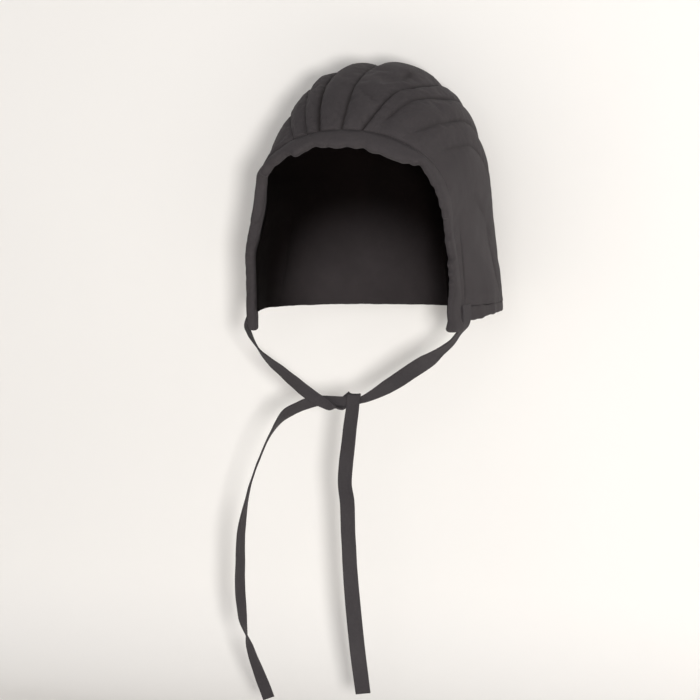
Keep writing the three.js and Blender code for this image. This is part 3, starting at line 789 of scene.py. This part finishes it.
def line_distances(base, share):
    """Distance of each point from each quilt line, along its own row."""
    step = np.zeros(base.shape[:2])
    step[:, 1:] = np.linalg.norm(np.diff(base, axis=1), axis=-1)
    run = np.cumsum(step, axis=1)
    line_columns = np.append(0, np.flatnonzero(share == 1.0))
    return np.abs(run[:, :, None] - run[:, None, line_columns])


def sink_creases(height, distances, pinched):
    """Lower the heights along the quilt lines, and return how far each point is darkened there with painted
    shade.
    """
    darkest = 0.9
    crease_shade = np.zeros(height.shape)
    for k in range(1, len(QUILT_LINES) - 1):
        line = QUILT_LINES[k]
        groove = np.exp(-(distances[..., k] / (line["width"] * MM)) ** 2)
        groove = groove * pinched[..., k] / line["pinch"]
        height -= CREASE_DEPTH * line["crease"] * groove
        crease_shade = np.maximum(crease_shade, min(line["crease"] / 2, darkest) * groove ** 2)
    return crease_shade


def add_wrinkles(height, base, uv, channel, to_line, held):
    """Add the padding's lumps, puckers along the quilt lines and the band, and ripples over the hem."""
    from_band, level = uv[..., 1], np.zeros(uv.shape[:2])
    height += bumps(base, high=0.0010, size=0.035, seed=1) * smoothstep(to_line, 0, 0.012)
    height += bumps(base, high=0.0003, size=0.013, seed=2) * smoothstep(to_line, 0, 0.006)
    by_line = np.stack([from_band, channel * 0.9 + level, uv[..., 0] * 0.12], -1)
    puckers = bumps(by_line, high=0.0006, size=0.0065, seed=3) * held
    height += puckers * np.exp(-to_line / 0.006) * smoothstep(to_line, 0, 0.0015)
    by_band = np.stack([uv[..., 0], from_band * 0.2, level], -1)
    puckers = bumps(by_band, high=0.0004, size=0.007, seed=4)
    height += puckers * np.exp(-from_band / 0.009) * smoothstep(from_band, 0, 0.002)
    above_hem = base[..., 2] + SKIRT
    ripples = bumps(base * UPRIGHT, high=0.0010, size=0.008, seed=5)
    height += ripples * np.exp(-above_hem / 0.007)


def end_at_skirt(points):
    """Set the last row and both side columns on the shell's lower edge, and hold the rest above it."""
    points[..., 2] = np.maximum(points[..., 2], -SKIRT)
    points[-1, :, 2] = points[:, 0, 2] = points[:, -1, 2] = -SKIRT


def make_shell(material):
    """Shell: one sheet that turns in at its edges, quilted, folded and pressed out by its wadding."""
    channel, share = shell_columns()
    columns = np.arange(len(channel))
    across, along = shell_places(channel, share)
    base = head_point(across, along)
    normal = head_normal(across, along)
    uv = cloth_uv(base)

    pinched = pinch_shares(uv[..., 1])
    side_of = smoothstep(share)
    held = pinched[:, columns, channel - 1] * (1 - side_of) + pinched[:, columns, channel] * side_of
    fuller = channel_fullness(channel, share)
    relief = channel_relief(channel, share, held)
    height = SHELL_INSIDE + SEAM + PUFF * fuller * relief * column_at(PUFF_ALONG, "fullness", along)
    distances = line_distances(base, share)
    to_line = distances.min(axis=2)
    # Painted shade in the quilt grooves, darker where they are deeper
    crease_shade = sink_creases(height, distances, pinched)
    add_wrinkles(height, base, uv, channel, to_line, held)
    for fold in FOLDS:
        sunk = fold_height(base, fold)
        height += sunk
        # Painted shade in the folds as well, darker where they are deeper
        crease_shade = np.maximum(crease_shade, -sunk / FOLD_DEPTH_OF_FULL_SHADE)

    points = base + normal * height[..., None]
    seam_half = 0.0009
    sewn = to_line < seam_half
    sewn[[0, -1], :] = True
    sewn[:, [0, -1]] = True
    # The wadding presses out the full channels of the crown, the flat ones and the sides little
    wadding = 0.2 + 0.8 * smoothstep(fuller, 0.3, 0.8) * (1 - smoothstep(np.abs(across), 0.24, 0.42))
    points += inflated(points, sewn) * wadding[..., None]
    end_at_skirt(points)
    # The sheet turns in on all four edges, down to just above the lining
    edge_lift = 0.0002
    inner = base + normal * (SHELL_INSIDE + edge_lift)
    inner = np.concatenate([inner[:1], inner, inner[-1:]], axis=0)
    grid = np.concatenate([inner[:1], points, inner[-1:]], axis=0)
    grid = leaned(np.concatenate([inner[:, :1], grid, inner[:, -1:]], axis=1))
    shell = piece_from_grid("padded_shell_cloth", grid, material, "charcoal_canvas", uv=cloth_uv(grid),
                            crease_shade=np.pad(crease_shade, 1, mode="edge"))
    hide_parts("padded_shell")
    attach(shell, BODY)


def make_lining(material):
    """Lining: a sheet that runs on over the inner faces of the band at the cheeks and of the hem."""
    across = np.linspace(-1, 1, 240)[None, :]
    front, behind = 0.0022, BAND_WIDTH + CLEARANCE
    forward = smoothstep(np.abs(across), 0.58, 0.72)
    start = along_at_distance(across, behind + (front - behind) * forward)
    drops = np.array([0.003, 0.006, 0.0085, 0.0096])
    along = start + (1 - start) * np.linspace(0, 1, 130)[:, None]
    across = across + np.zeros(along.shape)
    base = head_point(across, along)
    normal = head_normal(across, along)
    over_band = 1 - smoothstep(along, along_at_distance(across, 0.010), along_at_distance(across, 0.018))
    plain, sunk, at_hem = 0.0006, 0.0020, 0.0003
    height = plain - sunk * over_band
    height += bumps(base, high=0.0004, size=0.03, seed=11)
    height += bumps(base, high=0.00015, size=0.011, seed=12)
    height += (at_hem - height) * smoothstep(-base[..., 2], SKIRT - 0.01, SKIRT) * (1 - over_band)
    points = base + normal * height[..., None]
    end_at_skirt(points)

    def lowered(line, drop):
        out = line.copy()
        out[..., 2] -= drop
        return out

    below = [lowered(points[-1:], d * hem_share(across[-1])) for d in drops]
    grid = np.concatenate([points, *below], axis=0)

    def side(column):
        corner = hem_share(across[-1, column])
        place = hem_place(across[-1, column], along[:, column], along[0, column])
        share = np.append(hem_share(place), np.full(len(drops), corner))[:, None]
        fall = np.append(np.zeros(len(points)), drops * corner)[:, None]
        return [lowered(grid[:, [column]], np.maximum(d * share - fall, 0)) for d in drops]

    grid = np.concatenate([*side(0)[::-1], grid, *side(-1)], axis=1)
    grid = leaned(grid)[:, ::-1]
    lining = piece_from_grid("lining_cloth", grid, material, "dark_lining", uv=cloth_uv(grid))
    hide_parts("lining")
    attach(lining, BODY)


def rounded(angle, power):
    """Cosine and sine of a rounded square at the angles."""
    c, s = np.cos(angle), np.sin(angle)
    return np.sign(c) * np.abs(c) ** power, np.sign(s) * np.abs(s) ** power


def lowered_ring(ring, drop, shrink):
    """The ring of points, moved down and drawn in to its middle by the share shrink."""
    centre = ring.mean(axis=0)
    out = ring + (centre - ring) * shrink
    out[:, 2] = ring[:, 2] - drop
    return out[None]


def tab_rings(ring, length, narrowing):
    """Rings of a free tab that hangs from the band's last ring, past the hem, and ends rounded."""
    end = HEM_HEIGHT + length
    drops = [(HEM_HEIGHT * s, 0) for s in (0.25, 0.5, 0.75, 1.0)]
    drops += [(HEM_HEIGHT + (length - TAB_CORNER) * s, narrowing * s) for s in np.linspace(0.1, 1, 10)]
    drops += [(end - TAB_CORNER * (1 - math.sin(a)), narrowing + 0.8 * (1 - math.cos(a)))
              for a in np.radians([20, 40, 60, 75])]
    drops.append((end, 0.93))
    return [lowered_ring(ring, drop, shrink) for drop, shrink in drops]


def make_band(material):
    """Band: a padded tube round the face opening with a wavy front edge and a free tab at each end."""
    turns, rings = 48, 700
    angle = np.linspace(0, 2 * math.pi, turns, endpoint=False)
    across = np.linspace(-1, 1, rings)[:, None] + np.zeros((1, turns))
    # Round each ring, back runs from 0 at the front edge to 1 at the seam, and height from about 0 inside to
    # about 1 outside. The rear gets squarer where the shell laps over it.
    merged = smoothstep(across, *MERGING)
    rear = angle[None, :] * np.ones((rings, 1))
    cos_soft, sin_soft = rounded(rear, 2 / 2.7)
    cos_hard, sin_hard = rounded(rear, 2 / 6)
    behind = smoothstep(-np.cos(rear), -0.2, 0.6) * merged
    cos_all = cos_soft + (cos_hard - cos_soft) * behind
    sin_all = sin_soft + (sin_hard - sin_soft) * behind
    back = 0.5 - 0.5 * cos_all
    height = 0.48 + 0.5 * sin_all
    thick = BAND_THICKNESS - BAND_THINNING * merged
    taper = 1 - (0.42 - 0.36 * merged) * back ** 2
    wave = column_at(EDGE_WAVE, "back", across, "across") * MM
    scallops = 0.0018 + 0.0026 * smoothstep(across[:, :1], -0.40, -0.20)
    wave += bumps(across[:, :1, None] * np.array([0.22, 0, 0]), high=scallops, size=0.0085, seed=24)
    distance = wave + back * (BAND_WIDTH - wave)
    along = along_at_distance(across, distance)
    grid = offset_point(across, along, height * thick * np.where(height > 0.5, taper, 1.0))

    first = tab_rings(grid[0], TAB_LENGTH, TAB_NARROWING)[::-1]
    last = tab_rings(grid[-1], LEFT_TAB_LENGTH, LEFT_TAB_NARROWING)
    grid = np.concatenate([*first, grid, *last], axis=0)
    out = unit(grid - grid.mean(axis=1, keepdims=True))
    uv = cloth_uv(grid)
    edge = (0.5 + 0.5 * np.cos(angle))[None, :] ** 2
    outer = smoothstep(np.sin(angle), -0.3, 0.4)[None, :]
    lumps = bumps(grid, high=0.0009, size=0.014, seed=21) * (0.25 + 0.75 * edge) * (0.3 + 0.7 * outer)
    lumps += bumps(grid, high=0.0007, size=0.026, seed=23) * outer
    lumps += bumps(grid, high=0.0002, size=0.006, seed=22)
    grid = leaned(grid + out * lumps[..., None])
    band = piece_from_grid("front_band_cloth", grid, material, "charcoal_canvas", closed=True, uv=uv)
    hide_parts("front_band")
    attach(band, BODY)


def make_hem(material):
    """Hem: a flat tube below the shell, from cheek to cheek by way of the nape."""
    turns, side_rings, nape_rings = 28, 150, 620
    start = float(along_at_distance(1.0, BAND_WIDTH + 2 * CLEARANCE))
    side = start + (1 - start) * np.linspace(0, 1, side_rings, endpoint=False)
    across = np.concatenate([-np.ones(side_rings), np.linspace(-1, 1, nape_rings), np.ones(side_rings)])
    along = np.concatenate([side, np.ones(nape_rings), side[::-1]])
    seam = head_point(across, along)
    out = head_normal(across, along)
    out[:, 2] = 0
    out = unit(out)
    angle = np.linspace(0, 2 * math.pi, turns, endpoint=False)
    cos_all, sin_all = rounded(angle, 2 / 4.5)
    # Round each ring, down runs from 0 at the shell to 1 at the lower edge
    down = 0.5 - 0.5 * cos_all
    height = HEM_INSIDE + (HEM_THICKNESS - HEM_INSIDE) * (0.5 - 0.5 * sin_all)
    place = np.where(along < 1, hem_place(np.sign(across), along, start), across)
    uneven = 0.3 + 0.7 * smoothstep(np.abs(place), 0.8, 1.2)
    sag = hem_share(place) + bumps(seam, high=0.07 * uneven, size=0.022, seed=33)
    grid = seam[:, None, :] + out[:, None, :] * height[None, :, None]
    grid[..., 2] = seam[:, None, 2] - 0.0001 - down[None, :] * (HEM_HEIGHT * sag)[:, None]
    uv = cloth_uv(grid)
    spread = unit(grid - grid.mean(axis=1, keepdims=True))
    outer = smoothstep(height, 0.002, 0.004)[None, :]
    ripples = bumps(grid * UPRIGHT, high=0.0011 * uneven[:, None], size=0.008, seed=5)
    lumps = ripples * outer + bumps(grid, high=0.0002, size=0.005, seed=32)
    grid = leaned(grid + spread * lumps[..., None])
    hem = piece_from_grid("neck_hem_cloth", grid, material, "charcoal_canvas", closed=True, uv=uv)
    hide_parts("neck_hem")
    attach(hem, BODY)


def spline(points, t):
    """Centripetal Catmull-Rom curve through the points, at t from 0 (first) to 1 (last)."""
    points = np.asarray(points, float)
    last = len(points) - 1
    full = np.vstack([2 * points[0] - points[1], points, 2 * points[-1] - points[-2]])
    place = np.clip(np.asarray(t) * last, 0, last)
    i = np.minimum(np.floor(place).astype(int), last - 1)
    w = (place - i)[:, None]
    p0, p1, p2, p3 = (full[i + k] for k in range(4))
    d0, d1, d2 = (np.maximum(np.linalg.norm(b - a, axis=1, keepdims=True), 1e-9) ** 0.5
                  for a, b in ((p0, p1), (p1, p2), (p2, p3)))
    m1 = ((p1 - p0) / d0 - (p2 - p0) / (d0 + d1) + (p2 - p1) / d1) * d1
    m2 = ((p2 - p1) / d1 - (p3 - p1) / (d1 + d2) + (p3 - p2) / d2) * d1
    return p1 + w * (m1 + w * (3 * (p2 - p1) - 2 * m1 - m2 + w * (2 * (p1 - p2) + m1 + m2)))


def tape_frames(route, steps):
    """Middles of a tape's route, its directions across and out of its face, and its width shares."""
    t = np.linspace(0, 1, steps)
    centre = spline([np.array(row[0]) * MM for row in route], t)
    across = spline([row[1] for row in route], t)
    forward = unit(np.gradient(centre, axis=0))
    across = unit(across - forward * (across * forward).sum(axis=1, keepdims=True))
    widths = np.interp(t * (len(route) - 1), np.arange(len(route)), [row[2] for row in route])
    return centre, across, np.cross(across, forward), widths


def make_tie(name, node, route, material, seed):
    """Tape along its route: flat, with a rolled edge on both sides and a small ripple."""
    steps = (len(route) - 1) * 14 + 1
    centre, across, out, widths = tape_frames(route, steps)
    # Section in shares of the width (side) and thickness (face), a little thicker at both edges
    side = np.array([-0.5, -0.492, -0.46, -0.36, -0.2, 0, 0.2, 0.36, 0.46, 0.492, 0.5,
                     0.492, 0.46, 0.36, 0.2, 0, -0.2, -0.36, -0.46, -0.492])
    face = np.array([0, 0.36, 0.55, 0.42, 0.4, 0.4, 0.4, 0.42, 0.55, 0.36, 0,
                     -0.36, -0.55, -0.42, -0.4, -0.4, -0.4, -0.42, -0.55, -0.36])
    ripple = bumps(centre, high=0.0004, size=0.012, seed=seed * 5)
    cup = bumps(centre, high=0.0003, size=0.03, seed=seed * 7)
    width = widths * TAPE_WIDTH
    grid = (centre + out * ripple[:, None])[:, None, :]
    grid = grid + across[:, None, :] * (side[None, :] * width[:, None])[..., None]
    bow = (4 * side[None, :] ** 2) * cup[:, None]
    grid = grid + out[:, None, :] * (face[None, :] * TAPE_THICKNESS + bow)[..., None]
    grid = grid[:, ::-1]
    tie = piece_from_grid(name, grid, material, "charcoal_canvas", closed=True, uv=cloth_uv(grid))
    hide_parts(node)
    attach(tie, BODY)


def make_stage(material):
    """Pale floor under the tapes that sweeps up into a pale wall close behind the cap."""
    floor_z, wall_y, bend = cad_bounds[0][2] - 0.03, 0.128, 0.10
    front_y, top_z, half_width = -3.0, 2.2, 3.0
    profile = [(front_y, floor_z), (wall_y - bend, floor_z)]
    profile += [(wall_y - bend + bend * math.sin(a), floor_z + bend * (1 - math.cos(a)))
                for a in np.radians(np.linspace(7.5, 90, 12))]
    profile += [(wall_y, top_z)]
    points = np.array([[(x, y, z) for x in (-half_width, half_width)] for y, z in profile])
    piece_from_grid("backdrop", points, material, None)


def area_light(name, place, target, size, power, colour):
    """Round area light that faces the target."""
    data = bpy.data.lights.new(name, "AREA")
    data.shape = "DISK"
    data.size = size
    data.energy = power
    data.color = colour
    light = bpy.data.objects.new(name, data)
    light.location = place
    light.rotation_euler = (Vector(place) - Vector(target)).to_track_quat("Z", "Y").to_euler()
    scene.collection.objects.link(light)


def make_light():
    """Even studio light, a small key beside the camera for the tight shadow, and a soft fill."""
    world = bpy.data.worlds.new("studio")
    world.use_nodes = True
    world.node_tree.nodes["Background"].inputs["Color"].default_value = (0.99, 0.985, 1.0, 1)
    world.node_tree.nodes["Background"].inputs["Strength"].default_value = 0.46
    scene.world = world
    middle = (0.0, 0.0, -0.15)
    area_light("key", (0.88, -2.06, -0.13), middle, size=0.20, power=31, colour=(1.0, 0.985, 0.97))
    area_light("fill", (0.6, -2.3, 0.2), middle, size=0.9, power=6, colour=(0.98, 0.99, 1.0))


scene.view_settings.view_transform = "Standard"
make_camera()
canvas = cloth_material("charcoal_canvas", CANVAS)[0]
tape_cloth = cloth_material("tape_canvas", TAPE_CANVAS, pitch=0.0006)[0]
make_tie("tie_left_tape", "tie_left", TIE_LEFT, tape_cloth, 1)
make_tie("tie_right_tape", "tie_right", TIE_RIGHT, tape_cloth, 2)
make_shell(canvas)
make_lining(lining_material())
make_band(canvas)
make_hem(canvas)
make_stage(paper_material())
make_light()
